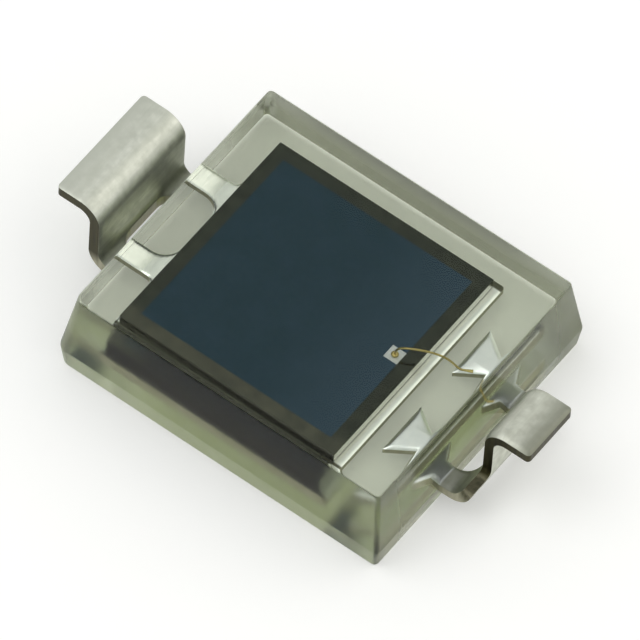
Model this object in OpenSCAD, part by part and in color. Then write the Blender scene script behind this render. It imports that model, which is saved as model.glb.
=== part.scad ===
// Surface-mount silicon photodiode.
// A clear moulded block holds a square die on a stamped lead frame. The two leads leave the
// block low on its ends and bend up, so that their feet lie just above the light face.
// Millimetres. +X points to the anode lead, +Z to the light, and the origin is the middle
// of the block's back.

/* [Epoxy body] */
// Length at the parting line, along the leads
body_l = 4.5; // [4.3:0.05:5]
// Width at the parting line, across the leads
body_w = 3.9; // [3.6:0.05:4.4]
// Height from the back to the light face
body_h = 1.2; // [1.05:0.05:1.6]
// Inset of the light face on each side, from the upper mould's draft
top_inset = 0.12; // [0.06:0.01:0.2]
// Inset of the back on each side, from the lower mould's draft
back_inset = 0.03; // [0.02:0.01:0.1]
// Height of the straight land at the parting line
parting_land = 0.03; // [0.02:0.01:0.06]
// Radius of the four upright corners
corner_r = 0.1; // [0.06:0.01:0.2]
// Rounding of the light face's rim
rim_r = 0.02; // [0.015:0.005:0.05]

/* [Lead frame] */
// Thickness of the sheet
lead_t = 0.15; // [0.1:0.01:0.2]
// Height of the sheet's underside above the back
lead_z = 0.22; // [0.15:0.01:0.3]
// Width of both leads where they leave the body
lead_w = 1.6; // [1.4:0.02:2]
// Width of each leg beside a lead's window
leg_w = 0.3; // [0.22:0.01:0.36]
// Distance over the tips of the two feet
tip_span = 6.3; // [6.1:0.02:7]
// Distance over the outer faces of the two risers
riser_span = 5.36; // [5.2:0.02:5.5]
// Distance over the outer ends of the two windows
window_span = 5; // [4.8:0.02:5.1]
// Corner radius of the windows
window_r = 0.25; // [0.1:0.01:0.3]
// Height of the feet above the light face
foot_rise = 0.12; // [0:0.01:0.2]
// Inside radius of the bends
bend_r = 0.15; // [0.08:0.01:0.18]
// Corner radius of the feet's tips
tip_r = 0.05; // [0.02:0.01:0.1]

/* [Cathode flag] */
// Margin of the flag beyond the die, towards the anode
flag_front = 0.11; // [0.04:0.01:0.2]
// Margin of the flag beyond the die, towards the cathode foot
flag_back = 0.05; // [0.02:0.01:0.12]
// Margin of the flag beyond the die on either side
flag_side = 0.07; // [0:0.01:0.1]
// Corner radius of the flag
flag_r = 0.04; // [0.02:0.01:0.1]
// Fillet where the legs meet the flag
leg_fillet = 0.09; // [0.04:0.01:0.15]

/* [Anode lead] */
// Width of the anode's riser and foot
anode_foot_w = 0.82; // [0.6:0.02:1]
// Height of the shoulders above the sheet's underside
shoulder_h = 0.24; // [0.2:0.01:0.32]
// Fillet between the shoulders and the riser
shoulder_fillet = 0.12; // [0.06:0.01:0.16]
// Corner radius of the shoulders
shoulder_r = 0.08; // [0.04:0.01:0.12]
// Gap between the flag and the anode's heads
head_gap = 0.21; // [0.15:0.01:0.3]
// Width of each flared head at its inner edge
head_w = 0.72; // [0.4:0.02:0.8]
// Length over which a head narrows to its leg
head_l = 0.31; // [0.2:0.01:0.4]

/* [Die] */
// Side of the square die
die_s = 3; // [2.6:0.05:3.2]
// Thickness of the die
die_t = 0.22; // [0.15:0.01:0.3]
// How far the die's middle lies from the body's middle, towards the cathode
die_offset = 0.22; // [0.15:0.01:0.28]
// Side of the light-sensitive square
active_s = 2.65; // [2.2:0.05:2.7]
// Thickness of the film on the light-sensitive square
film_t = 0.004; // [0.002:0.001:0.01]
// Thickness of the adhesive under the die
attach_t = 0.02; // [0.01:0.005:0.04]
// How far the adhesive stays inside the die's edge
attach_inset = 0.04; // [0:0.01:0.1]

/* [Bond] */
// Side of the square bond pad
pad_s = 0.19; // [0.12:0.01:0.25]
// Thickness of the bond pad
pad_t = 0.006; // [0.004:0.001:0.012]
// Distance from the pad's middle to the die's front edge
pad_front = 0.27; // [0.2:0.01:0.4]
// Diameter of the bond wire
wire_d = 0.028; // [0.02:0.002:0.04]
// Diameter of the ball on the pad
ball_d = 0.09; // [0.06:0.005:0.11]
// Height of the ball
ball_h = 0.04; // [0.02:0.005:0.05]
// Rise of the loop's crown above the die
loop_rise = 0.28; // [0.15:0.01:0.32]
// Distance from the ball to the loop's crown, along the wire
crown_s = 0.18; // [0.1:0.01:0.25]
// Length of the flattened stitch on the anode's head
stitch_l = 0.11; // [0.06:0.01:0.12]
// How far the stitch's tip lies past the head's inner edge
stitch_in = 0.18; // [0.14:0.01:0.2]
// How far the stitch's tip lies from the head's middle, towards the wire
stitch_side = 0.21; // [0.1:0.01:0.24]

/* [Hidden] */
$fn = 64;

// Levels, from the back up
sheet_top = lead_z + lead_t;
parting_z = lead_z + lead_t / 2;
attach_top = sheet_top + attach_t;
die_top = attach_top + die_t;
pad_top = die_top + pad_t;
loop_top = die_top + loop_rise;
foot_top = body_h + foot_rise;
shoulder_top = lead_z + shoulder_h;

// Places along X
die_x = -die_offset;
flag_front_x = die_x + die_s / 2 + flag_front;
flag_back_x = die_x - die_s / 2 - flag_back;
flag_l = flag_front_x - flag_back_x;
head_x = flag_front_x + head_gap;
neck_x = head_x + head_l;
riser_x = riser_span / 2;
tip_x = tip_span / 2;
window_x = window_span / 2;
pad_x = die_x + die_s / 2 - pad_front;

// Sizes across
flag_w = die_s + 2 * flag_side;
window_w = lead_w - 2 * leg_w;
leg_y = (lead_w - leg_w) / 2;

// The wire lies in one upright plane, from the pad to the stitch's tip
wire_start = [pad_x, 0];
wire_end = [head_x + stitch_in, leg_y - stitch_side];
wire_s = norm(wire_end - wire_start);
wire_dir = (wire_end - wire_start) / wire_s;
touch_s = wire_s - stitch_l;
wire_r = wire_d / 2;
wire_sides = 8;
rise_steps = 8;
fall_steps = 14;
ball_fn = 12;
// The stitch is pressed flat and wide at its tip
stitch_flat = 0.35;
stitch_wide = 1.7;
// Shape of the loop: how far its crown leans out over the rise, and how late it falls
crown_lean = 0.4;
fall_reach = 0.85;
fall_foot = 0.8;

// Longer than any piece, for cuts that go right through
through = 10;

// A square of plan size [l, w] with round corners, centred
module round_plan(l, w, r) {
    square([l - 2 * r, w], center = true);
    square([l, w - 2 * r], center = true);
    for (sx = [-1, 1], sy = [-1, 1])
        translate([sx * (l / 2 - r), sy * (w / 2 - r)])
            circle(r);
}

// The fill of an inside corner at the origin, between the +X and +Y directions
module corner_fill(r) {
    difference() {
        square(r);
        translate([r, r])
            circle(r);
    }
}

// Copies of a shape at the corner centres of the block, at a level with sides l and w
module at_block_corners(l, w, z) {
    for (sx = [-1, 1], sy = [-1, 1])
        translate([sx * (l / 2 - corner_r), sy * (w / 2 - corner_r), z])
            children();
}

// The moulded block's outside
module epoxy_block() {
    hull() {
        at_block_corners(body_l - 2 * top_inset, body_w - 2 * top_inset, body_h - rim_r)
            rotate_extrude($fn = 32)
                translate([corner_r - rim_r, 0])
                    circle(rim_r, $fn = 16);
        at_block_corners(body_l, body_w, parting_z - parting_land / 2)
            cylinder(r = corner_r, h = parting_land, $fn = 32);
        at_block_corners(body_l - 2 * back_inset, body_w - 2 * back_inset, 0)
            cylinder(r = corner_r, h = parting_land / 2, $fn = 32);
    }
}

// A quarter bend of the sheet about the origin, between the signs given for x and z
module quarter_bend(sign_x, sign_z) {
    outer_r = bend_r + lead_t;
    intersection() {
        difference() {
            circle(outer_r);
            circle(bend_r);
        }
        translate([min(0, sign_x * outer_r), min(0, sign_z * outer_r)])
            square(outer_r);
    }
}

// Side view of a lead: flat from inner_x, up the riser and out along the foot
module lead_side(inner_x) {
    low_x = riser_x - lead_t - bend_r;
    low_z = sheet_top + bend_r;
    high_x = riser_x + bend_r;
    high_z = foot_top - lead_t - bend_r;
    translate([inner_x, lead_z])
        square([low_x - inner_x, lead_t]);
    translate([low_x, low_z])
        quarter_bend(1, -1);
    translate([riser_x - lead_t, low_z])
        square([lead_t, high_z - low_z]);
    translate([high_x, high_z])
        quarter_bend(-1, 1);
    translate([high_x, foot_top - lead_t])
        square([tip_x - high_x, lead_t]);
}

// The bent strip of full width
module lead_strip(inner_x) {
    rotate([90, 0, 0])
        linear_extrude(lead_w, center = true)
            lead_side(inner_x);
}

// The cut between a lead's two legs, from near_x out to the window's end
module leg_window(near_x) {
    translate([(near_x + window_x) / 2, 0])
        linear_extrude(sheet_top + bend_r)
            round_plan(window_x - near_x, window_w, window_r);
}

// What a foot of width w loses at its two round tip corners
module tip_cut(w) {
    for (side = [0, 1])
        mirror([0, side, 0])
            translate([tip_x, w / 2])
                rotate(180)
                    linear_extrude(through)
                        corner_fill(tip_r);
}

// Plan of the flag, with the fillets beside its legs
module flag_plan() {
    translate([flag_back_x + flag_l / 2, 0])
        round_plan(flag_l, flag_w, flag_r);
    for (side = [0, 1])
        mirror([0, side])
            translate([flag_back_x, lead_w / 2])
                mirror([1, 0])
                    corner_fill(leg_fillet);
}

module cathode_lead() {
    color([0.74, 0.75, 0.71])
        difference() {
            union() {
                mirror([1, 0, 0])
                    lead_strip(-flag_back_x - flag_back);
                translate([0, 0, lead_z])
                    linear_extrude(lead_t)
                        flag_plan();
            }
            mirror([1, 0, 0]) {
                leg_window(-flag_back_x);
                tip_cut(lead_w);
            }
        }
}

// Front view of the anode: a wide base with round shoulders, then the narrow riser
module anode_front() {
    difference() {
        translate([-lead_w / 2, 0])
            square([lead_w, shoulder_top]);
        for (side = [0, 1])
            mirror([side, 0])
                translate([lead_w / 2, shoulder_top])
                    rotate(180)
                        corner_fill(shoulder_r);
    }
    translate([-anode_foot_w / 2, 0])
        square([anode_foot_w, foot_top]);
    for (side = [0, 1])
        mirror([side, 0])
            translate([anode_foot_w / 2, shoulder_top])
                corner_fill(shoulder_fillet);
}

// Plan of one flared head, on the leg's centre line
module head_plan() {
    polygon([
        [head_x, -head_w / 2],
        [neck_x, -leg_w / 2],
        [neck_x, leg_w / 2],
        [head_x, head_w / 2]
    ]);
}

module anode_lead() {
    color([0.74, 0.75, 0.71])
        union() {
            difference() {
                intersection() {
                    lead_strip(head_x);
                    rotate([90, 0, 90])
                        linear_extrude(through)
                            anode_front();
                }
                leg_window(0);
                tip_cut(anode_foot_w);
            }
            for (side = [-1, 1])
                translate([0, side * leg_y, lead_z])
                    linear_extrude(lead_t)
                        head_plan();
        }
}

module die_attach() {
    attach_s = die_s - 2 * attach_inset;
    color([0.62, 0.62, 0.6])
        translate([die_x - attach_s / 2, -attach_s / 2, sheet_top])
            cube([attach_s, attach_s, attach_t]);
}

module silicon_die() {
    color([0.3, 0.31, 0.3])
        translate([die_x - die_s / 2, -die_s / 2, attach_top])
            cube([die_s, die_s, die_t]);
}

// The square that the bond pad covers, at any height
module pad_square(h) {
    translate([pad_x - pad_s / 2, -pad_s / 2, die_top])
        cube([pad_s, pad_s, h]);
}

module active_film() {
    color([0.17, 0.22, 0.28])
        difference() {
            translate([die_x - active_s / 2, -active_s / 2, die_top])
                cube([active_s, active_s, film_t]);
            pad_square(through);
        }
}

module bond_pad() {
    color([0.92, 0.92, 0.9])
        pad_square(pad_t);
}

function bezier(p, t) =
    pow(1 - t, 3) * p[0] + 3 * t * pow(1 - t, 2) * p[1] + 3 * t * t * (1 - t) * p[2] + pow(t, 3) * p[3];

// The wire's centre line, as [distance along the wire's plane, height]
rise_curve = [
    [0, pad_top + ball_h / 2],
    [0, loop_top - wire_d],
    [crown_s * crown_lean, loop_top],
    [crown_s, loop_top]
];
fall_span = touch_s - crown_s;
fall_curve = [
    [crown_s, loop_top],
    [crown_s + fall_span * fall_reach, loop_top],
    [crown_s + fall_span * fall_foot, sheet_top + wire_r],
    [touch_s, sheet_top + wire_r]
];
wire_path = concat(
    [for (i = [0:rise_steps - 1]) bezier(rise_curve, i / rise_steps)],
    [for (i = [0:fall_steps]) bezier(fall_curve, i / fall_steps)],
    [[wire_s, sheet_top + wire_r * stitch_flat]]
);
wire_last = len(wire_path) - 1;

// Direction of the centre line at point i
function wire_tangent(i) =
    let (step = wire_path[min(i + 1, wire_last)] - wire_path[max(i - 1, 0)])
    i == 0 ? [0, 1] : i >= wire_last - 1 ? [1, 0] : step / norm(step);

// One ring of the wire's skin, with a flat side down
function wire_ring(i) =
    let (
        tangent = wire_tangent(i),
        normal = [-tangent[1], tangent[0]],
        half = wire_r / cos(180 / wire_sides),
        wide = half * (i == wire_last ? stitch_wide : 1),
        high = half * (i == wire_last ? stitch_flat : 1)
    )
    [for (k = [0:wire_sides - 1])
        let (
            turn = 360 * (k + 0.5) / wire_sides,
            at = wire_path[i] + normal * high * sin(turn),
            plan = wire_start + wire_dir * at[0] + [-wire_dir[1], wire_dir[0]] * wide * cos(turn)
        )
        [plan[0], plan[1], at[1]]];

module bond_wire() {
    points = [for (i = [0:wire_last]) each wire_ring(i)];
    skin = [
        for (i = [0:wire_last - 1], k = [0:wire_sides - 1])
            let (
                a = i * wire_sides + k,
                b = i * wire_sides + (k + 1) % wire_sides
            )
            each [[a, b, b + wire_sides], [a, b + wire_sides, a + wire_sides]]
    ];
    first_cap = [for (k = [0:wire_sides - 1]) wire_sides - 1 - k];
    last_cap = [for (k = [0:wire_sides - 1]) wire_last * wire_sides + k];
    color([0.78, 0.62, 0.25])
        union() {
            polyhedron(points, concat(skin, [first_cap, last_cap]));
            translate([pad_x, 0, pad_top])
                rotate_extrude($fn = ball_fn)
                    bond_ball_half();
        }
}

// Half of the ball's section: flat on the pad, round at its side
module bond_ball_half() {
    side_r = ball_h / 2;
    intersection() {
        union() {
            square([ball_d / 2 - side_r, ball_h]);
            translate([ball_d / 2 - side_r, side_r])
                circle(side_r, $fn = ball_fn);
        }
        square([ball_d, ball_h]);
    }
}

// Everything that the epoxy is moulded round
module inserts() {
    cathode_lead();
    anode_lead();
    die_attach();
    silicon_die();
    active_film();
    bond_pad();
    bond_wire();
}

module epoxy_body() {
    color([0.8, 0.84, 0.76, 0.35])
        difference() {
            epoxy_block();
            inserts();
        }
}

epoxy_body();
cathode_lead();
anode_lead();
die_attach();
silicon_die();
active_film();
bond_pad();
bond_wire();
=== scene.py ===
"""Looks of the clear surface-mount photodiode: finished pieces, studio light and camera.

Shapes are worked out in millimetres and made in metres. +X points to the anode lead and +Z to
the light, as in the frame.
"""
import math
from collections import namedtuple

import bmesh
import bpy
from mathutils import Matrix, Vector
from mathutils.kdtree import KDTree


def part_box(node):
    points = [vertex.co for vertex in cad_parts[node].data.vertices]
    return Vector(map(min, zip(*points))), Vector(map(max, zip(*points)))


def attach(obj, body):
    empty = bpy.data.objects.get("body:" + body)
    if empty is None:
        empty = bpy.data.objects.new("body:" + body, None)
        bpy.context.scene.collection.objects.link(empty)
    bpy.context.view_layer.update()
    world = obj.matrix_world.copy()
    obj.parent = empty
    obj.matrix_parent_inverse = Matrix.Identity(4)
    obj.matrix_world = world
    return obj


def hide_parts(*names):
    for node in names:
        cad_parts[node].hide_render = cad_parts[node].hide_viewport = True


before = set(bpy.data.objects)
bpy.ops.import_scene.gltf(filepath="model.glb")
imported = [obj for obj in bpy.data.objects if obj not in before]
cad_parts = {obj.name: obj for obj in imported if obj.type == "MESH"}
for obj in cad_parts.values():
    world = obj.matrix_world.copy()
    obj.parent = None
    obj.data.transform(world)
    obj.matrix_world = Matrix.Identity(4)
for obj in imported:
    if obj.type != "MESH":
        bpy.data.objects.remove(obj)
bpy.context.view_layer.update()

MM = 0.001


def box_mm(node):
    """Lowest and highest corner of a CAD node, in millimetres."""
    low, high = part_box(node)
    return low / MM, high / MM


# Sizes that the frame gives
body_lo, body_hi = box_mm("epoxy_body")
cathode_lo, cathode_hi = box_mm("cathode_lead")
anode_lo, anode_hi = box_mm("anode_lead")
attach_lo, attach_hi = box_mm("die_attach")
die_lo, die_hi = box_mm("silicon_die")
film_lo, film_hi = box_mm("active_film")
pad_lo, pad_hi = box_mm("bond_pad")
sheet_low = cathode_lo.z
sheet_top = attach_lo.z
sheet_t = sheet_top - sheet_low
foot_top = cathode_hi.z
tip_x = anode_hi.x

# Sizes of the block beyond its box
TOP_INSET = 0.12
BACK_INSET = 0.03
PARTING_LAND = 0.03
# Radii of the upright edges, anticlockwise from the one at +X +Y
CORNER_RADII = (0.06, 0.06, 0.13, 0.06)
RIM_R = 0.045
BACK_R = 0.005
CORNER_STEPS = 10
RIM_STEPS = 6

# Sizes of the leads beyond their boxes, with x measured outwards from the middle
LEAD_W = 1.6
LEG_W = 0.3
RISER_X = 2.68
WINDOW_X = 2.5
WINDOW_R = 0.25
BEND_R = 0.15
TIP_R = 0.05
FLAG_BACK = 0.05
FLAG_R = 0.04
LEG_FILLET = 0.09
ANODE_FOOT_W = 0.82
SHOULDER_TOP = 0.46
SHOULDER_FILLET = 0.12
SHOULDER_R = 0.08
HEAD_W = 0.72
HEAD_L = 0.31
# Width and depth of the stamped edge's roll: wide on the upper side, nearly sharp on the lower
CATHODE_ROLL = (0.04, 0.008)
ANODE_ROLL = (0.075, 0.024)
BURR_ROLL = (0.015, 0.005)
# Distances from an edge at which the sheet's mesh has a line
EDGE_STEPS = (0.015, 0.04, 0.075)
# Cells of the mesh narrower than this many of the last step have their lines squeezed
CELL_STEPS = 2.5
ARC_STEPS = 8
BEND_STEPS = 16
EDGE_SAMPLE = 0.004

# Edges of the die and of what lies on it and under it
DIE_CHAMFER = 0.006
DIE_CORNER_R = 0.012
FILM_CHAMFER = 0.002
PAD_CHAMFER = 0.003
ADHESIVE_DIP = 0.002
PLATE_STEPS = 3

# The bond wire
WIRE_R = 0.014
BALL_D = 0.09
BALL_H = 0.04
LOOP_RISE = 0.28
CROWN_S = 0.18
CROWN_LEAN = 0.4
FALL_REACH = 0.85
FALL_FOOT = 0.8
STITCH_L = 0.11
STITCH_IN = 0.18
STITCH_SIDE = 0.21
STITCH_FLAT = 0.35
STITCH_WIDE = 1.7
WIRE_SIDES = 16
RISE_STEPS = 14
FALL_STEPS = 26
STITCH_STEPS = 6
BALL_SIDES = 24
BALL_STEPS = 10

# Degrees between faces from which their shared edge is sharp
SHARP_ANGLE = 35
ROUND_SHARP_ANGLE = 60

# Finish of the epoxy. Roughness of the long walls from -Y to +Y, of the end walls from beside the
# legs out to the corners, with the distances from the middle where it starts and ends, and of the
# upright edges, with the share of slant from which a face belongs to them
EPOXY_IOR = 1.55
EPOXY_SPECULAR = (0.15, 0.15, 0.15, 1.0)
EPOXY_FOG = {"Color": (0.715, 0.795, 0.523, 1.0), "Density": 260.0}
SIDE_ROUGH = (0.28, 0.62)
CATHODE_END_ROUGH = (0.08, 0.42)
CATHODE_END_Y = (1.0, 1.5)
ANODE_END_ROUGH = (0.14, 0.3)
ANODE_END_Y = (1.0, 1.6)
END_FADE = 1.5
EDGE_ROUGH = 0.4
EDGE_SLANT = (0.02, 0.15)
# Tints of its surfaces: clear and hazy walls, and painted shade on the far wall and on the back
CLEAR_TINT = (0.99, 0.99, 0.98, 1.0)
HAZY_TINT = (0.88, 0.9, 0.81, 1.0)
FAR_WALL_SHADE_TINT = (0.4, 0.42, 0.28, 1.0)
BACK_SHADE_TINT = (0.77, 0.79, 0.74, 1.0)
HAZE_GRAIN = 5.0
FAR_SHADE_Z = (0.4, 0.8)
FAR_SHADE_TOP_SHARE = 0.4
FAR_SHADE_Y = 0.6

# Finish of the leads: heights of the painted shade low down and of the plated part of the cut edge,
# and depths of the sheet's two skins
FADE = 0.02
LOW_SHADE_Z = (0.2, 0.55)
CUT_PLATED_Z = (0.3, 0.5)
CUT_PLATED_REACH = 0.03
UNDERSIDE_SKIN = 0.02
UPPER_SKIN = 0.03
STREAK_STRETCH = (14, 1.2, 14)
STREAK_SHARE = 0.6
STREAK_RANGE = (0.4, 0.65)
STREAK_DEPTH = 0.002
CLOUD_GRAIN = 9.0
TIN_ROUGH = (0.44, 0.56)
SILVER_ROUGH = (0.22, 0.28)
UNDERSIDE_ROUGH = 0.08
SCRATCH_STRETCH = (25, 25, 2)
CUT_ROUGH = (0.35, 0.5)

# Finish of the die and what lies on it and under it. A face counts as turned to an axis as its
# normal's share of that axis goes through the given range
TURNED = (0.6, 0.8)
SAW_STRETCH = (2, 2, 60)
BORDER_GRAIN = 9.0
SILICON_ROUGH = (0.12, 0.2)
BARE_BORDER_Y = (-0.02, 0.1)
FILM_GRAIN = 16.0
FILM_CLOUD = 3.2
FILM_CLOUD_SHARE = 0.35
FILM_CLOUD_RANGE = (0.4, 0.7)
FILM_FRONT_SHARE = 0.6
FILM_ROUGH = (0.1, 0.14)
FLAKE_GRAIN = 60.0
FLAKE_ROUGH = (0.3, 0.45)
FLAKE_DEPTH = 0.001
MOTTLE_DEPTH = 0.0006

# The camera, from a fit to the photograph: degrees and millimetres
CAMERA_AZIMUTH = -56.731
CAMERA_ELEVATION = 56.414
CAMERA_ROLL = 4.3155
CAMERA_DISTANCE = 160.3
CAMERA_TARGET = Vector((-0.0205, -0.0038, 0.6))
CAMERA_LENS = 804.5
CAMERA_SENSOR = 36.0
CAMERA_NEAR = 10.0
CAMERA_FAR = 2000.0

# The studio: degrees, millimetres and watts
FLOOR_GAP = 0.02
FLOOR_SIZE = 700.0
LAMP_DISTANCE = 130.0
RIGHT_LAMP = {"azimuth": 38, "elevation": 44, "size": 130, "power": 0.03, "colour": (1.0, 0.95, 0.86)}
LEFT_LAMP = {"azimuth": 218, "elevation": 62, "size": 80, "power": 0.03, "colour": (1.0, 1.0, 1.0)}
LIGHT_BOUNCES = 32
# Places on the world's ramp, from the horizon at 0 to overhead at 1, and their colours
WORLD_LOW = (0.1, (0.86, 0.87, 0.85, 1))
WORLD_HIGH = (0.8, (0.70, 0.71, 0.70, 1))
FLOOR_COLOUR = (0.86, 0.86, 0.855, 1)
FLOOR_ROUGH = 0.9
FLOOR_LIFT = 0.2


def srgb(red, green, blue):
    """A colour given in 0 to 255, as the linear colour that shaders take."""
    def linear(value):
        part = value / 255
        return part / 12.92 if part <= 0.04045 else ((part + 0.055) / 1.055) ** 2.4
    return (linear(red), linear(green), linear(blue), 1.0)


# Materials

def new_material(name):
    """A material with its tree and its principled shader."""
    material = bpy.data.materials.new(name)
    material.use_nodes = True
    tree = material.node_tree
    return material, tree, tree.nodes["Principled BSDF"]


def add_node(tree, kind, values=None, **settings):
    """A node with the given settings, and with input values by name or number."""
    node = tree.nodes.new(kind)
    for key, value in settings.items():
        setattr(node, key, value)
    for key, value in (values or {}).items():
        node.inputs[key].default_value = value
    return node


def set_inputs(shader, **values):
    """Plain values on a shader's own sockets. An underscore in a name stands for a space."""
    for key, value in values.items():
        shader.inputs[key.replace("_", " ")].default_value = value


def place_mm(tree, stretch=(1, 1, 1)):
    """The place on the part in millimetres, times a stretch for each axis."""
    where = add_node(tree, "ShaderNodeTexCoord")
    scale = add_node(tree, "ShaderNodeVectorMath", {1: [s / MM for s in stretch]}, operation="MULTIPLY")
    tree.links.new(where.outputs["Object"], scale.inputs[0])
    return scale.outputs["Vector"]


def noise(tree, place, scale, detail=3.0):
    """Noise from 0 to 1 with that many features to a millimetre."""
    node = add_node(tree, "ShaderNodeTexNoise", {"Scale": scale, "Detail": detail})
    tree.links.new(place, node.inputs["Vector"])
    return node.outputs["Fac"]


def spread(tree, value, low, high, start=0.3, end=0.7):
    """A value from start to end, spread over low to high."""
    node = add_node(tree, "ShaderNodeMapRange", {1: start, 2: end, 3: low, 4: high})
    tree.links.new(value, node.inputs["Value"])
    return node.outputs["Result"]


def blend_colours(tree, factor, first, second):
    """Two colours, or colour sockets, mixed by a factor socket."""
    node = add_node(tree, "ShaderNodeMix", data_type="RGBA")
    tree.links.new(factor, node.inputs["Factor"])
    ends = [socket for socket in node.inputs if socket.type == "RGBA"]
    for socket, colour in zip(ends, (first, second)):
        if isinstance(colour, tuple):
            socket.default_value = colour
        else:
            tree.links.new(colour, socket)
    return next(socket for socket in node.outputs if socket.type == "RGBA")


def blend_values(tree, factor, first, second):
    """Two values, or value sockets, mixed by a factor socket."""
    node = add_node(tree, "ShaderNodeMix")
    tree.links.new(factor, node.inputs["Factor"])
    for name, value in (("A", first), ("B", second)):
        if isinstance(value, float):
            node.inputs[name].default_value = value
        else:
            tree.links.new(value, node.inputs[name])
    return node.outputs["Result"]


def bump(tree, shader, height, depth):
    """Surface relief of about that depth in millimetres, from a height of 0 to 1."""
    node = add_node(tree, "ShaderNodeBump", {"Strength": 1.0, "Distance": depth * MM})
    tree.links.new(height, node.inputs["Height"])
    tree.links.new(node.outputs["Normal"], shader.inputs["Normal"])


def axis_of(tree, vector, axis):
    """One axis of a vector socket."""
    node = add_node(tree, "ShaderNodeSeparateXYZ")
    tree.links.new(vector, node.inputs[0])
    return node.outputs[axis]


def product(tree, first, second):
    """Two value sockets multiplied."""
    node = add_node(tree, "ShaderNodeMath", operation="MULTIPLY")
    tree.links.new(first, node.inputs[0])
    tree.links.new(second, node.inputs[1])
    return node.outputs[0]


def reach(tree, vector, axis):
    """How far a vector reaches along one axis, to either side."""
    node = add_node(tree, "ShaderNodeMath", operation="ABSOLUTE")
    tree.links.new(axis_of(tree, vector, axis), node.inputs[0])
    return node.outputs[0]


def epoxy_satin(tree, place):
    """The roughness of the block's sides: wall by wall, with a value of its own on the upright edges."""
    sides = spread(tree, axis_of(tree, place, "Y"), *SIDE_ROUGH,
                   body_lo.y + TOP_INSET, body_hi.y - TOP_INSET)
    towards_anode = spread(tree, axis_of(tree, place, "X"), 0, 1, -1, 1)
    aside = reach(tree, place, "Y")
    ends = blend_values(tree, towards_anode, spread(tree, aside, *CATHODE_END_ROUGH, *CATHODE_END_Y),
                        spread(tree, aside, *ANODE_END_ROUGH, *ANODE_END_Y))
    at_ends = spread(tree, reach(tree, place, "X"), 0, 1,
                     body_hi.x - END_FADE * TOP_INSET, body_hi.x - TOP_INSET)
    facing = add_node(tree, "ShaderNodeNewGeometry").outputs["Normal"]
    slant = product(tree, reach(tree, facing, "X"), reach(tree, facing, "Y"))
    on_edge = spread(tree, slant, 0, 1, *EDGE_SLANT)
    return blend_values(tree, on_edge, blend_values(tree, at_ends, sides, ends), EDGE_ROUGH)


def clear_epoxy():
    """Clear epoxy with a trace of olive: polished on the light face and the back, satin on the sides, with
    painted shade on the far wall and the back.
    """
    material, tree, shader = new_material("clear_epoxy")
    set_inputs(shader, Transmission_Weight=1.0, IOR=EPOXY_IOR, Specular_Tint=EPOXY_SPECULAR)
    place = place_mm(tree)
    height = axis_of(tree, place, "Z")
    moulded = product(tree, spread(tree, height, 1, 0, body_hi.z - RIM_R / 2, body_hi.z),
                      spread(tree, height, 0, 1, body_lo.z, body_lo.z + BACK_R))
    tree.links.new(product(tree, moulded, epoxy_satin(tree, place)), shader.inputs["Roughness"])
    haze = product(tree, moulded, spread(tree, noise(tree, place, HAZE_GRAIN), 0, 1))
    tint = blend_colours(tree, haze, CLEAR_TINT, HAZY_TINT)
    # Painted shade: a dark olive tint on the far wall, partway up and towards +Y
    far_shade_height = product(tree, moulded, spread(tree, height, 1, FAR_SHADE_TOP_SHARE, *FAR_SHADE_Z))
    far_shade_side = spread(tree, axis_of(tree, place, "Y"), 0, 1, FAR_SHADE_Y, body_hi.y - TOP_INSET)
    tint = blend_colours(tree, product(tree, far_shade_height, far_shade_side), tint, FAR_WALL_SHADE_TINT)
    # Painted shade: the back is tinted grey, dimming the floor seen through the block as the shade under it
    # would
    back = spread(tree, height, 1, 0, body_lo.z, body_lo.z + BACK_R)
    tree.links.new(blend_colours(tree, back, tint, BACK_SHADE_TINT), shader.inputs["Base Color"])
    fog = add_node(tree, "ShaderNodeVolumeAbsorption", EPOXY_FOG)
    tree.links.new(fog.outputs[0], tree.nodes["Material Output"].inputs["Volume"])
    return material


def nearer_than(tree, place, x):
    """1 nearer the part's middle than x, measured along the part, and 0 farther out."""
    return spread(tree, reach(tree, place, "X"), 1, 0, x - FADE, x + FADE)


def tin_plate(name, dark, light, toe_shade, low, silver):
    """Satin tin outside, streaked, with painted shade towards the toe and low down, and silver plating in
    the block.
    """
    material, tree, shader = new_material(name)
    set_inputs(shader, Metallic=1.0)
    place = place_mm(tree)
    height = axis_of(tree, place, "Z")
    streak = noise(tree, place_mm(tree, STREAK_STRETCH), 1.0, detail=4.0)
    cloud = spread(tree, noise(tree, place, CLOUD_GRAIN), 0, 1)
    toe = spread(tree, reach(tree, place, "X"), 0, 1, RISER_X + BEND_R, tip_x)
    blotchy = blend_colours(tree, cloud, dark, light)
    streaky = blend_colours(tree, spread(tree, streak, 0, STREAK_SHARE, *STREAK_RANGE), blotchy, dark)
    # Painted shade: the tin darkens towards the toe, most on the anode
    tin = blend_colours(tree, toe, streaky, toe_shade)
    # Painted shade: the tin outside darkens low down, under the feet, where shade falls
    tin = blend_colours(tree, spread(tree, height, 1, 0, *LOW_SHADE_Z), tin, low)
    upper = spread(tree, height, 0, 1, sheet_low + UNDERSIDE_SKIN, sheet_top - UPPER_SKIN)
    underside, margin_tint = srgb(252, 252, 250), srgb(104, 105, 92)
    plated = blend_colours(tree, upper, underside, blend_colours(tree, cloud, *silver))
    # Darker on the flag's margins beside the die's long sides
    margin = spread(tree, reach(tree, place, "Y"), 0, 1, die_hi.y - FADE, die_hi.y)
    margin_tinted = blend_colours(tree, product(tree, upper, margin), plated, margin_tint)
    held = nearer_than(tree, place, body_hi.x)
    tree.links.new(blend_colours(tree, held, tin, margin_tinted), shader.inputs["Base Color"])
    matt = spread(tree, axis_of(tree, place, "X"), *SILVER_ROUGH, 0, die_hi.x)
    silvered = blend_values(tree, upper, UNDERSIDE_ROUGH, matt)
    tinned = spread(tree, streak, *TIN_ROUGH)
    tree.links.new(blend_values(tree, held, tinned, silvered), shader.inputs["Roughness"])
    bump(tree, shader, streak, STREAK_DEPTH)
    return material


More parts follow.
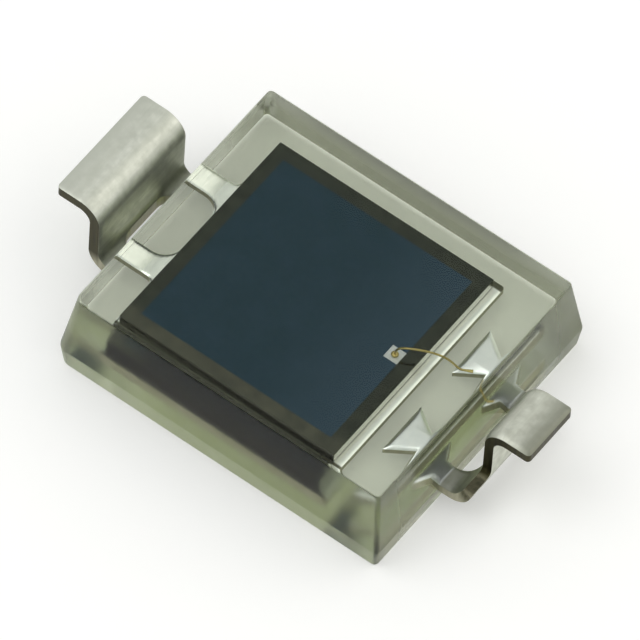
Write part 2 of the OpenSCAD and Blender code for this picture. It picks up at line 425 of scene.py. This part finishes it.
def cut_metal():
    """The sheared edge of the sheet: dark with upright scratches, partly bare metal and partly painted
    shade, and plated low down and in the block.
    """
    material, tree, shader = new_material("cut_metal")
    set_inputs(shader, Metallic=1.0)
    place = place_mm(tree)
    streak = noise(tree, place_mm(tree, SCRATCH_STRETCH), 1.0)
    scratch = spread(tree, streak, 0, 1)
    # Partly painted shade: the bare edge's dark colour is the metal's own and also stands in for shade on
    # edges turned from the light
    bare = blend_colours(tree, scratch, srgb(48, 46, 29), srgb(74, 71, 49))
    plated = blend_colours(tree, scratch, srgb(150, 148, 126), srgb(182, 179, 158))
    low = spread(tree, axis_of(tree, place, "Z"), 1, 0, *CUT_PLATED_Z)
    outside = blend_colours(tree, low, bare, plated)
    inside = nearer_than(tree, place, WINDOW_X + CUT_PLATED_REACH)
    tree.links.new(blend_colours(tree, inside, outside, plated), shader.inputs["Base Color"])
    tree.links.new(spread(tree, streak, *CUT_ROUGH), shader.inputs["Roughness"])
    bump(tree, shader, streak, STREAK_DEPTH)
    return material


def sawn_silicon():
    """The die: dark sides with saw marks, with painted light on the side towards the anode, and an olive
    border on top.
    """
    material, tree, shader = new_material("sawn_silicon")
    set_inputs(shader, Metallic=1.0)
    place = place_mm(tree)
    saw = noise(tree, place_mm(tree, SAW_STRETCH), 1.0, detail=2.0)
    sawn = blend_colours(tree, spread(tree, saw, 0, 1), srgb(18, 18, 15), srgb(32, 31, 26))
    patchy = spread(tree, noise(tree, place, BORDER_GRAIN), 0, 1)
    dull = blend_colours(tree, patchy, srgb(54, 58, 52), srgb(68, 72, 64))
    bare = blend_colours(tree, patchy, srgb(74, 76, 68), srgb(92, 93, 82))
    start, end = (film_lo.y + step for step in BARE_BORDER_Y)
    border = blend_colours(tree, spread(tree, axis_of(tree, place, "Y"), 1, 0, start, end), dull, bare)
    facing = add_node(tree, "ShaderNodeNewGeometry").outputs["Normal"]
    # Painted light: the side that faces the anode gets a far paler colour than the other sawn sides
    front = spread(tree, axis_of(tree, facing, "X"), 0, 1, *TURNED)
    side = blend_colours(tree, front, sawn, srgb(136, 137, 122))
    up = spread(tree, axis_of(tree, facing, "Z"), 0, 1, *TURNED)
    tree.links.new(blend_colours(tree, up, side, border), shader.inputs["Base Color"])
    tree.links.new(spread(tree, saw, *SILICON_ROUGH), shader.inputs["Roughness"])
    return material


def blue_film():
    """The light-sensitive square: dark navy with a fine grain and soft clouds, paler towards the anode."""
    material, tree, shader = new_material("blue_film")
    set_inputs(shader, Metallic=1.0)
    place = place_mm(tree)
    grain = noise(tree, place, FILM_GRAIN, detail=2.0)
    fine = blend_colours(tree, spread(tree, grain, 0, 1), srgb(42, 62, 71), srgb(48, 69, 81))
    cloud = spread(tree, noise(tree, place, FILM_CLOUD, detail=4.0), 0, FILM_CLOUD_SHARE,
                   *FILM_CLOUD_RANGE)
    wide = blend_colours(tree, cloud, fine, srgb(58, 76, 92))
    front = spread(tree, axis_of(tree, place, "X"), 0, FILM_FRONT_SHARE, 0, film_hi.x)
    tree.links.new(blend_colours(tree, front, wide, srgb(66, 84, 99)), shader.inputs["Base Color"])
    tree.links.new(spread(tree, grain, *FILM_ROUGH), shader.inputs["Roughness"])
    return material


def mottled_metal(name, dark, light, smooth, rough, grain):
    """A plain metal with a fine mottle in its colour and its roughness."""
    material, tree, shader = new_material(name)
    set_inputs(shader, Metallic=1.0)
    mottle = noise(tree, place_mm(tree), grain)
    tint = blend_colours(tree, spread(tree, mottle, 0, 1), dark, light)
    tree.links.new(tint, shader.inputs["Base Color"])
    tree.links.new(spread(tree, mottle, smooth, rough), shader.inputs["Roughness"])
    bump(tree, shader, mottle, MOTTLE_DEPTH)
    return material


def silvery_adhesive():
    """Conductive adhesive: a pale paste full of silver flakes."""
    material, tree, shader = new_material("grey_adhesive")
    set_inputs(shader, Metallic=1.0)
    flakes = noise(tree, place_mm(tree), FLAKE_GRAIN, detail=2.0)
    tint = blend_colours(tree, spread(tree, flakes, 0, 1), srgb(196, 197, 188), srgb(226, 226, 218))
    tree.links.new(tint, shader.inputs["Base Color"])
    tree.links.new(spread(tree, flakes, *FLAKE_ROUGH), shader.inputs["Roughness"])
    bump(tree, shader, flakes, FLAKE_DEPTH)
    return material


# Meshes

def finish_piece(bm, name, materials, node, sharp_angle=SHARP_ANGLE):
    """The mesh as a piece of the part: in metres, shaded, and riding in place of its node."""
    bmesh.ops.recalc_face_normals(bm, faces=bm.faces)
    bmesh.ops.scale(bm, vec=(MM, MM, MM), verts=bm.verts)
    mesh = bpy.data.meshes.new(name)
    bm.to_mesh(mesh)
    bm.free()
    mesh.shade_smooth()
    mesh.set_sharp_from_angle(angle=math.radians(sharp_angle))
    for material in materials:
        mesh.materials.append(material)
    piece = bpy.data.objects.new(name, mesh)
    bpy.context.scene.collection.objects.link(piece)
    weighted = piece.modifiers.new("weighted_normals", "WEIGHTED_NORMAL")
    weighted.keep_sharp = True
    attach(piece, "root")
    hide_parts(node)
    return piece


def skin_rings(bm, rings, closed=False):
    """Faces between rings of points, with a face over each end, or on round to the first ring."""
    made = [[bm.verts.new(point) for point in ring] for ring in rings]
    pairs = list(zip(made, made[1:]))
    if closed:
        pairs.append((made[-1], made[0]))
    else:
        bm.faces.new(reversed(made[0]))
        bm.faces.new(made[-1])
    for low, high in pairs:
        for i, vert in enumerate(low):
            j = (i + 1) % len(low)
            bm.faces.new((vert, low[j], high[j], high[i]))


def round_ring(low, high, inset, radii, z, steps):
    """A rectangle at height z, inset from the sides of a box, with a radius for each of its corners."""
    ring = []
    sides = ((1, 1, 0), (-1, 1, 90), (-1, -1, 180), (1, -1, 270))
    for (side_x, side_y, start), radius in zip(sides, radii):
        centre_x = (high.x if side_x > 0 else low.x) - side_x * (inset + radius)
        centre_y = (high.y if side_y > 0 else low.y) - side_y * (inset + radius)
        for i in range(steps + 1):
            turn = math.radians(start + 90 * i / steps)
            ring.append((centre_x + radius * math.cos(turn), centre_y + radius * math.sin(turn), z))
    return ring


def build_block():
    """The moulded block: drafted both ways from its parting land, with a rounded rim."""
    parting = sheet_low + sheet_t / 2
    # Inset of each level, what its corners' radii lose there, and its height
    levels = [(BACK_INSET + BACK_R, BACK_R, body_lo.z),
              (BACK_INSET, 0, body_lo.z + BACK_R),
              (0, 0, parting - PARTING_LAND / 2),
              (0, 0, parting + PARTING_LAND / 2)]
    for i in range(RIM_STEPS + 1):
        turn = math.radians(90 * i / RIM_STEPS)
        pulled = RIM_R * (1 - math.cos(turn))
        levels.append((TOP_INSET + pulled, pulled, body_hi.z - RIM_R * (1 - math.sin(turn))))
    rings = [round_ring(body_lo, body_hi, inset, [radius - less for radius in CORNER_RADII], z, CORNER_STEPS)
             for inset, less, z in levels]
    bm = bmesh.new()
    skin_rings(bm, rings)
    return finish_piece(bm, "clear_block", [clear_epoxy()], "epoxy_body",
                        ROUND_SHARP_ANGLE)


# One row across a lead: a point (x, z) and the lines' places across, on the upper and the lower
# side, and which cells between the lines are sheet from this row to the next
Row = namedtuple("Row", "upper lower upper_ys lower_ys cells")

low_bend = (RISER_X - sheet_t - BEND_R, sheet_top + BEND_R)
high_bend = (RISER_X + BEND_R, foot_top - sheet_t - BEND_R)
flag_front_x = -cathode_hi.x
flag_back_x = FLAG_BACK - die_lo.x
head_x = anode_lo.x
neck_x = head_x + HEAD_L
leg_y = (LEAD_W - LEG_W) / 2


def at_x(x, radius):
    """The point of one side of the sheet at x, on the flat or on the lower bend."""
    turn = math.asin(min(1, max(0, (x - low_bend[0]) / radius)))
    return (x, low_bend[1] - radius * math.cos(turn))


def at_z(z, radius):
    """The point of one side of the sheet at height z, on the lower bend or on the riser."""
    turn = math.acos(min(1, max(0, (low_bend[1] - z) / radius)))
    return (low_bend[0] + radius * math.sin(turn), z)


def arc_depths(radius):
    """Depths into a quarter arc, from 0 to its radius, at even turns."""
    return [radius * (1 - math.cos(math.radians(90 * i / ARC_STEPS))) for i in range(ARC_STEPS + 1)]


def evenly(start, end, steps):
    """Evenly spaced values after start, up to end."""
    return [start + (end - start) * (i + 1) / steps for i in range(steps)]


def in_order(values):
    """Values sorted, without repeats."""
    return sorted({round(value, 4) for value in values})


def lead_points(flat_xs):
    """Pairs of points on the upper and lower side of a lead, from the window's end to the tip."""
    thin, thick = BEND_R, BEND_R + sheet_t
    pairs = [(at_x(x, thin), at_x(x, thick)) for x in flat_xs]
    starts = [point[1] for point in pairs[-1]]
    climbs = [evenly(z, SHOULDER_TOP, BEND_STEPS // 2) for z in starts]
    pairs += [(at_z(u, thin), at_z(v, thick)) for u, v in zip(*climbs)]
    riser_zs = [SHOULDER_TOP + depth for depth in arc_depths(SHOULDER_FILLET)[1:]]
    riser_zs += evenly(SHOULDER_TOP, low_bend[1], 4)
    riser_zs += evenly(SHOULDER_TOP + SHOULDER_FILLET, high_bend[1], 4)
    pairs += [(at_z(z, thin), at_z(z, thick)) for z in in_order(riser_zs)]
    for turn in evenly(0, math.pi / 2, BEND_STEPS):
        pairs.append(tuple((high_bend[0] - radius * math.cos(turn), high_bend[1] + radius * math.sin(turn))
                           for radius in (thick, thin)))
    foot_xs = [tip_x - depth for depth in (*arc_depths(TIP_R), *EDGE_STEPS)]
    pairs += [((x, foot_top), (x, foot_top - sheet_t)) for x in in_order(foot_xs)]
    return pairs


def corner(before, radius):
    """How far a round corner takes an edge in or out, at a distance before the corner."""
    if before >= radius:
        return 0.0
    return radius - math.sqrt(radius ** 2 - (radius - max(0, before)) ** 2)


def cathode_lines(point):
    """Half widths of the cathode lead at a point: of its window, its strip and its flag."""
    x = point[0]
    window = LEAD_W / 2 - LEG_W - corner(WINDOW_X - x, WINDOW_R) - corner(x - flag_back_x, WINDOW_R)
    strip = LEAD_W / 2 + corner(x - flag_back_x, LEG_FILLET) - corner(tip_x - x, TIP_R)
    flag = cathode_hi.y - corner(flag_back_x - x, FLAG_R) - corner(x - flag_front_x, FLAG_R)
    return (window, strip, flag)


def cathode_cells(start, end):
    """Which cells of the cathode lead are sheet between two pairs of points."""
    middle = (start[0][0] + end[0][0]) / 2
    return (middle < flag_back_x, True, middle < flag_back_x or middle > WINDOW_X)


def anode_lines(point):
    """Half widths of the anode lead at a point: of its window, its riser and its base or head."""
    x, z = point
    flare = max(0, neck_x - x) / HEAD_L * (HEAD_W - LEG_W) / 2
    window = LEAD_W / 2 - LEG_W - corner(WINDOW_X - x, WINDOW_R) - flare
    riser = ANODE_FOOT_W / 2 + corner(z - SHOULDER_TOP, SHOULDER_FILLET) - corner(tip_x - x, TIP_R)
    base = LEAD_W / 2 + flare - corner(SHOULDER_TOP - z, SHOULDER_R)
    return (window, riser, base)


def anode_cells(start, end):
    """Which cells of the anode lead are sheet between two pairs of points."""
    return (end[0][1] <= SHOULDER_TOP, True, start[0][0] >= WINDOW_X)


def line_places(half_widths):
    """Places of the mesh's lines across a lead, closer together beside each edge."""
    inner, middle, outer = half_widths
    edges = (-outer, -middle, -inner, inner, middle, outer)
    places = [edges[0]]
    for start, end in zip(edges, edges[1:]):
        squeeze = min(1, (end - start) / (CELL_STEPS * EDGE_STEPS[-1]))
        near = [step * squeeze for step in EDGE_STEPS]
        places += [start + step for step in near]
        places += [end - step for step in reversed(near)]
        places.append(end)
    return places


def lead_rows(flat_xs, lines, cells):
    """All rows of a lead, from its inner end to its tip."""
    pairs = lead_points(in_order(flat_xs))
    rows = []
    for pair, following in zip(pairs, pairs[1:] + pairs[-1:]):
        outer, middle, inner = cells(pair, following)
        places = [line_places(lines(point)) for point in pair]
        rows.append(Row(*pair, *places, (outer, middle, inner, middle, outer)))
    return rows


def roll_edges(upper, lower, edges, width, depth):
    """Moves that take the points near the given edges towards the other side, as stamping does."""
    samples = []
    for edge in edges:
        first, last = (vert.co.copy() for vert in edge.verts)
        count = max(1, math.ceil((last - first).length / EDGE_SAMPLE))
        samples += [first.lerp(last, i / count) for i in range(count + 1)]
    tree = KDTree(len(samples))
    for i, sample in enumerate(samples):
        tree.insert(sample, i)
    tree.balance()
    moves = []
    for key, vert in upper.items():
        nearness = 1 - tree.find(vert.co)[2] / width
        if nearness > 0:
            inward = (lower[key].co - vert.co).normalized()
            moves.append((vert, inward * depth * nearness ** 2))
    return moves


def build_lead(name, rows, sign, node, tin, roll):
    """A stamped and bent lead: its two faces, its cut edges, and the roll along them."""
    bm = bmesh.new()
    upper, lower = {}, {}
    cell_lines = 2 * len(EDGE_STEPS) + 1

    def vert(side, row, line):
        if (row, line) not in side:
            point, places = ((rows[row].upper, rows[row].upper_ys) if side is upper
                             else (rows[row].lower, rows[row].lower_ys))
            side[row, line] = bm.verts.new((sign * point[0], places[line], point[1]))
        return side[row, line]

    for i, row in enumerate(rows[:-1]):
        lines = [cell * cell_lines + k for cell, there in enumerate(row.cells) if there
                 for k in range(cell_lines)]
        for line in lines:
            for side in (upper, lower):
                bm.faces.new([vert(side, *key) for key in
                              ((i, line), (i, line + 1), (i + 1, line + 1), (i + 1, line))])
    keys = {made: key for side in (upper, lower) for key, made in side.items()}
    edges = [edge for edge in bm.edges if edge.is_boundary]
    upper_edges = [edge for edge in edges if upper[keys[edge.verts[0]]] is edge.verts[0]]
    lower_edges = [edge for edge in edges if edge not in set(upper_edges)]
    moves = roll_edges(upper, lower, upper_edges, *roll)
    moves += roll_edges(lower, upper, lower_edges, *BURR_ROLL)
    for edge in upper_edges:
        first, last = edge.verts
        wall = bm.faces.new((first, last, lower[keys[last]], lower[keys[first]]))
        wall.material_index = 1
    for vert_moved, move in moves:
        vert_moved.co += move
    return finish_piece(bm, name, [tin, cut_metal()], node)


def build_cathode():
    """The cathode lead, with the flag that carries the die."""
    xs = [flag_front_x + step for step in (*arc_depths(FLAG_R), *EDGE_STEPS)]
    xs += [flag_back_x - step for step in (*arc_depths(FLAG_R), *EDGE_STEPS)]
    xs += [flag_back_x + depth for depth in (*arc_depths(WINDOW_R), *arc_depths(LEG_FILLET))]
    xs += [WINDOW_X - depth for depth in arc_depths(WINDOW_R)]
    # Painted shade: the darker tin towards the toe and low down outside the block
    tin = tin_plate("cathode_tin", dark=srgb(199, 202, 190), light=srgb(224, 226, 215),
                    toe_shade=srgb(196, 199, 188), low=srgb(88, 91, 76),
                    silver=(srgb(240, 244, 244), srgb(248, 251, 251)))
    rows = lead_rows(xs, cathode_lines, cathode_cells)
    return build_lead("cathode_strip", rows, -1, "cathode_lead", tin, CATHODE_ROLL)


def build_anode():
    """The anode lead, with its two flared heads."""
    xs = [head_x + step for step in (0, *EDGE_STEPS)]
    xs += [neck_x] + [WINDOW_X - depth for depth in arc_depths(WINDOW_R)]
    # Painted shade: the darker tin towards the toe and low down outside the block
    tin = tin_plate("anode_tin", dark=srgb(194, 196, 183), light=srgb(222, 224, 212),
                    toe_shade=srgb(134, 136, 122), low=srgb(88, 90, 78),
                    silver=(srgb(240, 244, 249), srgb(247, 250, 254)))
    rows = lead_rows(xs, anode_lines, anode_cells)
    return build_lead("anode_strip", rows, 1, "anode_lead", tin, ANODE_ROLL)


def build_plate(name, low, high, levels, radius, material, node):
    """A square plate from levels of inset and height."""
    bm = bmesh.new()
    skin_rings(bm, [round_ring(low, high, inset, [radius] * 4, z, PLATE_STEPS) for inset, z in levels])
    return finish_piece(bm, name, [material], node)


def build_die():
    """The sawn die, with a fine chamfer at its top edge."""
    levels = [(0, die_lo.z), (0, die_hi.z - DIE_CHAMFER), (DIE_CHAMFER, die_hi.z)]
    return build_plate("die_chip", die_lo, die_hi, levels, DIE_CORNER_R, sawn_silicon(),
                       "silicon_die")


def build_adhesive():
    """The adhesive, whose edge dips in between the die and the flag."""
    middle = (attach_lo.z + attach_hi.z) / 2
    levels = [(0, attach_lo.z), (ADHESIVE_DIP, middle), (0, attach_hi.z)]
    return build_plate("adhesive_layer", attach_lo, attach_hi, levels, DIE_CORNER_R, silvery_adhesive(),
                       "die_attach")


def build_film():
    """The blue film on the die, open where the bond pad lies."""
    bm = bmesh.new()
    outside = [(FILM_CHAMFER, film_hi.z), (0, film_hi.z - FILM_CHAMFER), (0, film_lo.z)]
    rings = [round_ring(film_lo, film_hi, inset, [DIE_CORNER_R] * 4, z, PLATE_STEPS)
             for inset, z in outside]
    rings += [round_ring(pad_lo, pad_hi, 0, [PAD_CHAMFER] * 4, z, PLATE_STEPS)
              for z in (film_lo.z, film_hi.z)]
    skin_rings(bm, rings, closed=True)
    return finish_piece(bm, "blue_square", [blue_film()], "active_film")


def build_pad():
    """The aluminium bond pad."""
    levels = [(0, pad_lo.z), (0, pad_hi.z - PAD_CHAMFER), (PAD_CHAMFER, pad_hi.z)]
    aluminium = mottled_metal("pad_metal", srgb(198, 203, 206), srgb(220, 224, 226),
                              smooth=0.35, rough=0.5, grain=40.0)
    return build_plate("pad_plate", pad_lo, pad_hi, levels, PAD_CHAMFER, aluminium,
                       "bond_pad")


def bezier(points, share):
    """A point of a cubic curve, from its four points."""
    rest = 1 - share
    weights = (rest ** 3, 3 * share * rest ** 2, 3 * share ** 2 * rest, share ** 3)
    return sum((Vector(point) * weight for point, weight in zip(points, weights)), Vector((0, 0)))


def wire_path(length):
    """The wire's centre line as (distance along, height), with its flatness from 0 to 1."""
    crown_z = die_hi.z + LOOP_RISE
    rise = [(0, pad_hi.z + BALL_H / 2), (0, crown_z - 2 * WIRE_R),
            (CROWN_S * CROWN_LEAN, crown_z), (CROWN_S, crown_z)]
    touch = length - STITCH_L
    fall_span = touch - CROWN_S
    lying_z = sheet_top + WIRE_R
    fall = [(CROWN_S, crown_z), (CROWN_S + fall_span * FALL_REACH, crown_z),
            (CROWN_S + fall_span * FALL_FOOT, lying_z), (touch, lying_z)]
    path = [(bezier(rise, i / RISE_STEPS), 0) for i in range(RISE_STEPS)]
    path += [(bezier(fall, i / FALL_STEPS), 0) for i in range(FALL_STEPS + 1)]
    end = Vector((length, sheet_top + WIRE_R * STITCH_FLAT))
    last = path[-1][0]
    path += [(last.lerp(end, share), share) for share in evenly(0, 1, STITCH_STEPS)]
    return path


def build_wire():
    """The gold wire: ball on the pad, loop, and flattened stitch on the anode's head."""
    start = (pad_lo + pad_hi) / 2
    end = Vector((head_x + STITCH_IN, leg_y - STITCH_SIDE))
    along = end - start.xy
    path = wire_path(along.length)
    along.normalize()
    rings = []
    for i, (point, flat) in enumerate(path):
        step = path[min(i + 1, len(path) - 1)][0] - path[max(i - 1, 0)][0]
        tangent = Vector((0, 1)) if i == 0 else step.normalized()
        wide = WIRE_R * (1 + flat * (STITCH_WIDE - 1))
        high = WIRE_R * (1 - flat * (1 - STITCH_FLAT))
        ring = []
        for k in range(WIRE_SIDES):
            turn = 2 * math.pi * k / WIRE_SIDES
            at = point + Vector((-tangent.y, tangent.x)) * high * math.sin(turn)
            plan = start.xy + along * at.x + Vector((-along.y, along.x)) * wide * math.cos(turn)
            ring.append((plan.x, plan.y, at.y))
        rings.append(ring)
    bm = bmesh.new()
    skin_rings(bm, rings)
    skin_rings(bm, ball_rings(start.xy))
    gold = mottled_metal("gold", srgb(184, 166, 102), srgb(210, 194, 136),
                         smooth=0.25, rough=0.4, grain=60.0)
    return finish_piece(bm, "gold_wire", [gold], "bond_wire", ROUND_SHARP_ANGLE)


def ball_rings(centre):
    """Rings of the ball, flat on the pad and drawn in to the wire at its top."""
    side_r = BALL_H / 2
    rings = []
    for turn in [-math.pi / 2] + evenly(-math.pi / 2, math.pi / 2, BALL_STEPS):
        radius = BALL_D / 2 - side_r + side_r * math.cos(turn)
        rings.append((radius, pad_hi.z + side_r + side_r * math.sin(turn)))
    return [[(centre.x + radius * math.cos(2 * math.pi * k / BALL_SIDES),
              centre.y + radius * math.sin(2 * math.pi * k / BALL_SIDES), z) for k in range(BALL_SIDES)]
            for radius, z in rings]


# Studio

def aim(azimuth, elevation):
    """The direction at an azimuth and an elevation in degrees."""
    around, above = math.radians(azimuth), math.radians(elevation)
    return Vector((math.cos(around) * math.cos(above), math.sin(around) * math.cos(above), math.sin(above)))


def make_camera():
    """The camera at the photograph's angle."""
    back = aim(CAMERA_AZIMUTH, CAMERA_ELEVATION)
    right = Vector((0, 0, 1)).cross(back).normalized()
    up = back.cross(right)
    roll = math.radians(CAMERA_ROLL)
    turned = Matrix((right * math.cos(roll) + up * math.sin(roll),
                     up * math.cos(roll) - right * math.sin(roll), back)).transposed().to_4x4()
    turned.translation = (CAMERA_TARGET + back * CAMERA_DISTANCE) * MM
    data = bpy.data.cameras.new("camera")
    data.lens, data.sensor_width = CAMERA_LENS, CAMERA_SENSOR
    data.clip_start, data.clip_end = CAMERA_NEAR * MM, CAMERA_FAR * MM
    camera = bpy.data.objects.new("camera", data)
    camera.matrix_world = turned
    bpy.context.scene.collection.objects.link(camera)
    bpy.context.scene.camera = camera


def make_lamp(name, azimuth, elevation, size, power, colour):
    """A large soft lamp turned to the part."""
    data = bpy.data.lights.new(name, "AREA")
    data.energy = power
    data.color = colour
    data.size = size * MM
    lamp = bpy.data.objects.new(name, data)
    away = aim(azimuth, elevation)
    lamp.location = away * LAMP_DISTANCE * MM
    lamp.rotation_mode = "QUATERNION"
    lamp.rotation_quaternion = away.to_track_quat("Z", "Y")
    lamp.visible_camera = False
    bpy.context.scene.collection.objects.link(lamp)


def seen_directly(tree):
    """1 for what the camera sees itself, in metal or through glass, and 0 for light on the part."""
    path = add_node(tree, "ShaderNodeLightPath")
    total = path.outputs["Is Camera Ray"]
    for ray in ("Is Glossy Ray", "Is Transmission Ray"):
        join = add_node(tree, "ShaderNodeMath", operation="MAXIMUM")
        tree.links.new(total, join.inputs[0])
        tree.links.new(path.outputs[ray], join.inputs[1])
        total = join.outputs[0]
    return total


def make_world():
    """A soft surround: white at the camera, brighter at the horizon than overhead."""
    world = bpy.data.worlds.new("studio")
    bpy.context.scene.world = world
    world.use_nodes = True
    tree = world.node_tree
    where = add_node(tree, "ShaderNodeTexCoord")
    ramp = add_node(tree, "ShaderNodeValToRGB")
    low, high = ramp.color_ramp.elements
    low.position, low.color = WORLD_LOW
    high.position, high.color = WORLD_HIGH
    tree.links.new(axis_of(tree, where.outputs["Generated"], "Z"), ramp.inputs[0])
    path = add_node(tree, "ShaderNodeLightPath")
    colour = blend_colours(tree, path.outputs["Is Camera Ray"], ramp.outputs["Color"], (1.0, 1.0, 1.0, 1.0))
    tree.links.new(colour, tree.nodes["Background"].inputs["Color"])


def make_floor():
    """A pale floor just under the part, which keeps its shadow, and is open from below."""
    bm = bmesh.new()
    bmesh.ops.create_grid(bm, x_segments=1, y_segments=1, size=FLOOR_SIZE / 2 * MM)
    mesh = bpy.data.meshes.new("floor")
    bm.to_mesh(mesh)
    bm.free()
    material, tree, shader = new_material("pale_floor")
    set_inputs(shader, Base_Color=FLOOR_COLOUR, Roughness=FLOOR_ROUGH, Specular_IOR_Level=0.0,
               Emission_Color=(1, 1, 1, 1))
    lift = add_node(tree, "ShaderNodeMath", {1: FLOOR_LIFT}, operation="MULTIPLY")
    tree.links.new(seen_directly(tree), lift.inputs[0])
    tree.links.new(lift.outputs[0], shader.inputs["Emission Strength"])
    facing = add_node(tree, "ShaderNodeNewGeometry")
    clear = add_node(tree, "ShaderNodeBsdfTransparent")
    choose = add_node(tree, "ShaderNodeMixShader")
    tree.links.new(facing.outputs["Backfacing"], choose.inputs[0])
    tree.links.new(shader.outputs[0], choose.inputs[1])
    tree.links.new(clear.outputs[0], choose.inputs[2])
    tree.links.new(choose.outputs[0], tree.nodes["Material Output"].inputs["Surface"])
    mesh.materials.append(material)
    floor = bpy.data.objects.new("floor", mesh)
    floor.location.z = -FLOOR_GAP * MM
    bpy.context.scene.collection.objects.link(floor)


def let_light_bounce():
    """Enough bounces for light that runs along inside the block, between its walls and the leads."""
    cycles = bpy.context.scene.cycles
    cycles.max_bounces = LIGHT_BOUNCES
    cycles.glossy_bounces = LIGHT_BOUNCES
    cycles.transmission_bounces = LIGHT_BOUNCES


make_camera()
make_world()
make_floor()
make_lamp("right_lamp", **RIGHT_LAMP)
make_lamp("left_lamp", **LEFT_LAMP)
bpy.context.scene.view_settings.view_transform = "Standard"
let_light_bounce()

build_block()
build_cathode()
build_anode()
build_adhesive()
build_die()
build_film()
build_pad()
build_wire()
